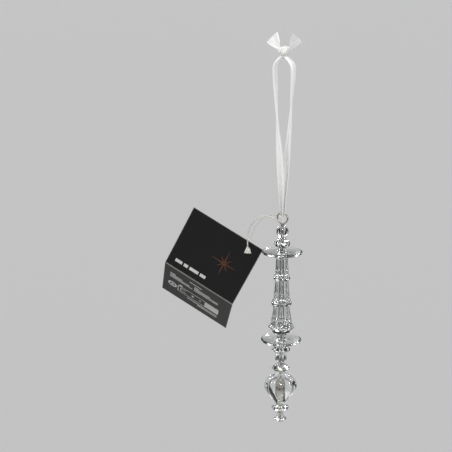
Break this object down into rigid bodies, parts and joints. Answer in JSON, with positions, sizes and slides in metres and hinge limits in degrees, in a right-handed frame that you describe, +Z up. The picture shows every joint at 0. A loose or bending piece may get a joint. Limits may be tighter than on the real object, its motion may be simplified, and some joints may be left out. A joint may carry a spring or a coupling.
{
  "type": "hanging icicle ornament",
  "caption": "Clear acrylic icicle of turned and lobed beads on a wire eye pin, hung from a sheer ribbon loop, with a folded card tag.",
  "frame": {"origin": "underside of the ribbon loop's top bend, where it rests on a peg", "axes": "+Z up along the pin, -Y towards the front, +X to the right"},
  "size_m": [0.1054, 0.0369, 0.2374],
  "materials": {
    "organza": "sheer white organza ribbon with woven edges",
    "wire": "bright drawn wire",
    "clear_acrylic": "clear moulded acrylic, polished",
    "black_card": "satin printed card, near black outside and beige inside",
    "charcoal_card": "satin printed card, charcoal outside and beige inside",
    "nylon": "translucent white nylon"
  },
  "bodies": {
    "ribbon": {"ribbon_loop": "organza", "ribbon_knot": "organza", "ribbon_tail_left": "organza", "ribbon_tail_right": "organza"},
    "pendant": {"eye_pin": "wire"},
    "top_ball_body": {"top_ball": "clear_acrylic"},
    "neck_bead_body": {"neck_bead": "clear_acrylic"},
    "upper_rondelle_body": {"upper_rondelle": "clear_acrylic"},
    "upper_saucer_body": {"upper_saucer": "clear_acrylic"},
    "column_upper_body": {"column_upper": "clear_acrylic"},
    "column_ring_upper_body": {"column_ring_upper": "clear_acrylic"},
    "column_middle_body": {"column_middle": "clear_acrylic"},
    "column_ring_lower_body": {"column_ring_lower": "clear_acrylic"},
    "column_skirt_body": {"column_skirt": "clear_acrylic"},
    "collar_ring_body": {"collar_ring": "clear_acrylic"},
    "lower_saucer_body": {"lower_saucer": "clear_acrylic"},
    "faceted_rondelle_body": {"faceted_rondelle": "clear_acrylic"},
    "small_bead_body": {"small_bead": "clear_acrylic"},
    "lobed_bead_body": {"lobed_bead": "clear_acrylic"},
    "turnip_ball_body": {"turnip_ball": "clear_acrylic"},
    "lower_disc_body": {"lower_disc": "clear_acrylic"},
    "bell_tip_body": {"bell_tip": "clear_acrylic"},
    "tag": {"tag_front_leaf": "black_card", "tag_lock": "nylon", "tag_filament": "nylon"},
    "tag_back": {"tag_back_leaf": "charcoal_card"}
  },
  "joints": [
    {"name": "pendant_swing", "type": "hinge", "parent": "ribbon", "child": "pendant", "pos_m": [0, 0, -0.094], "axis": [0, 1, 0], "range_deg": [-40, 40]},
    {"name": "tag_swing", "type": "hinge", "parent": "pendant", "child": "tag", "pos_m": [0, 0, -0.0969], "axis": [0, 1, 0], "range_deg": [0, 35]},
    {"name": "tag_fold", "type": "hinge", "parent": "tag", "child": "tag_back", "pos_m": [-0.03181, -0.00214, -0.15127], "axis": [0.8744, 0.1229, -0.4695], "range_deg": [-45, 123]},
    {"name": "top_ball_spin", "type": "hinge", "parent": "pendant", "child": "top_ball_body", "pos_m": [0, 0, 0], "axis": [0, 0, 1], "continuous": true},
    {"name": "neck_bead_spin", "type": "hinge", "parent": "pendant", "child": "neck_bead_body", "pos_m": [0, 0, 0], "axis": [0, 0, 1], "continuous": true},
    {"name": "upper_rondelle_spin", "type": "hinge", "parent": "pendant", "child": "upper_rondelle_body", "pos_m": [0, 0, 0], "axis": [0, 0, 1], "continuous": true},
    {"name": "upper_saucer_spin", "type": "hinge", "parent": "pendant", "child": "upper_saucer_body", "pos_m": [0, 0, 0], "axis": [0, 0, 1], "continuous": true},
    {"name": "column_upper_spin", "type": "hinge", "parent": "pendant", "child": "column_upper_body", "pos_m": [0, 0, 0], "axis": [0, 0, 1], "continuous": true},
    {"name": "column_ring_upper_spin", "type": "hinge", "parent": "pendant", "child": "column_ring_upper_body", "pos_m": [0, 0, 0], "axis": [0, 0, 1], "continuous": true},
    {"name": "column_middle_spin", "type": "hinge", "parent": "pendant", "child": "column_middle_body", "pos_m": [0, 0, 0], "axis": [0, 0, 1], "continuous": true},
    {"name": "column_ring_lower_spin", "type": "hinge", "parent": "pendant", "child": "column_ring_lower_body", "pos_m": [0, 0, 0], "axis": [0, 0, 1], "continuous": true},
    {"name": "column_skirt_spin", "type": "hinge", "parent": "pendant", "child": "column_skirt_body", "pos_m": [0, 0, 0], "axis": [0, 0, 1], "continuous": true},
    {"name": "collar_ring_spin", "type": "hinge", "parent": "pendant", "child": "collar_ring_body", "pos_m": [0, 0, 0], "axis": [0, 0, 1], "continuous": true},
    {"name": "lower_saucer_spin", "type": "hinge", "parent": "pendant", "child": "lower_saucer_body", "pos_m": [0, 0, 0], "axis": [0, 0, 1], "continuous": true},
    {"name": "faceted_rondelle_spin", "type": "hinge", "parent": "pendant", "child": "faceted_rondelle_body", "pos_m": [0, 0, 0], "axis": [0, 0, 1], "continuous": true},
    {"name": "small_bead_spin", "type": "hinge", "parent": "pendant", "child": "small_bead_body", "pos_m": [0, 0, 0], "axis": [0, 0, 1], "continuous": true},
    {"name": "lobed_bead_spin", "type": "hinge", "parent": "pendant", "child": "lobed_bead_body", "pos_m": [0, 0, 0], "axis": [0, 0, 1], "continuous": true},
    {"name": "turnip_ball_spin", "type": "hinge", "parent": "pendant", "child": "turnip_ball_body", "pos_m": [0, 0, 0], "axis": [0, 0, 1], "continuous": true},
    {"name": "lower_disc_spin", "type": "hinge", "parent": "pendant", "child": "lower_disc_body", "pos_m": [0, 0, 0], "axis": [0, 0, 1], "continuous": true},
    {"name": "bell_tip_spin", "type": "hinge", "parent": "pendant", "child": "bell_tip_body", "pos_m": [0, 0, 0], "axis": [0, 0, 1], "continuous": true}
  ]
}
